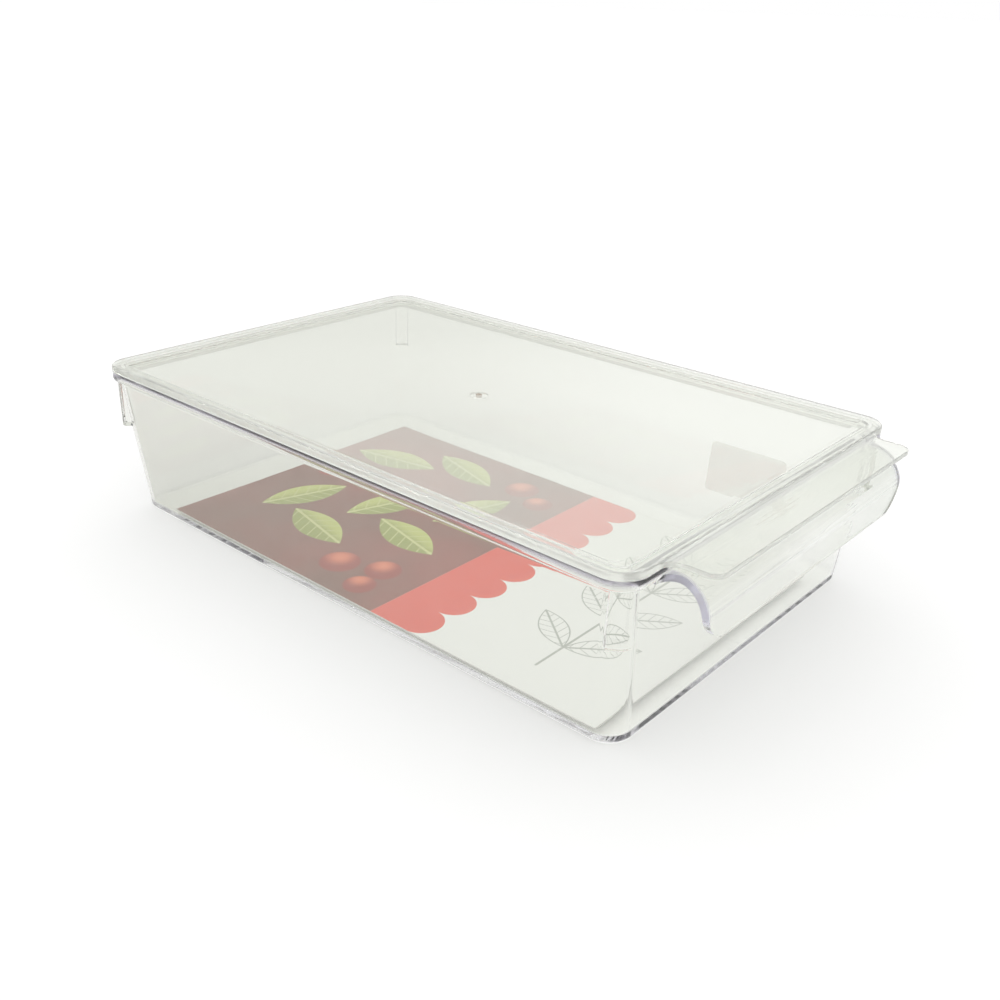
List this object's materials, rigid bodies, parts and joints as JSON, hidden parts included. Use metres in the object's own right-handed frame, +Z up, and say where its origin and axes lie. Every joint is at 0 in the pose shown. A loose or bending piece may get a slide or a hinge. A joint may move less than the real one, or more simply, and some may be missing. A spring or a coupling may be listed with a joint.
{
  "type": "fridge storage box",
  "caption": "Clear lidded storage box for a fridge shelf, with a curled pull handle, corner stop lugs, a lift-off lid with a tab, a loose card on the floor and a blank label.",
  "frame": {"origin": "on the ground, under the middle of the closed part's bounding box", "axes": "+X along the length towards the pull handle, +Y across the width towards the labelled wall, +Z up"},
  "size_m": [0.325, 0.2, 0.075],
  "materials": {
    "clear_box_plastic": "clear moulded plastic, glossy, with a faint violet cast in its edges",
    "clear_lid_plastic": "clear moulded plastic, glossy, with a faint grey-green cast in its edges",
    "printed_card": "thin coated card, printed in dark brown, red and white",
    "label_paper": "blank matt paper sticker"
  },
  "bodies": {
    "box": {"storage_box": "clear_box_plastic", "blank_label": "label_paper"},
    "lid": {"lid": "clear_lid_plastic"},
    "card": {"insert_card": "printed_card"}
  },
  "joints": [
    {"name": "lid_lift", "type": "slide", "parent": "box", "child": "lid", "axis": [0, 0, 1], "range_m": [0, 0.15]},
    {"name": "card_lift", "type": "slide", "parent": "box", "child": "card", "axis": [0, 0, 1], "range_m": [0, 0.06]}
  ]
}
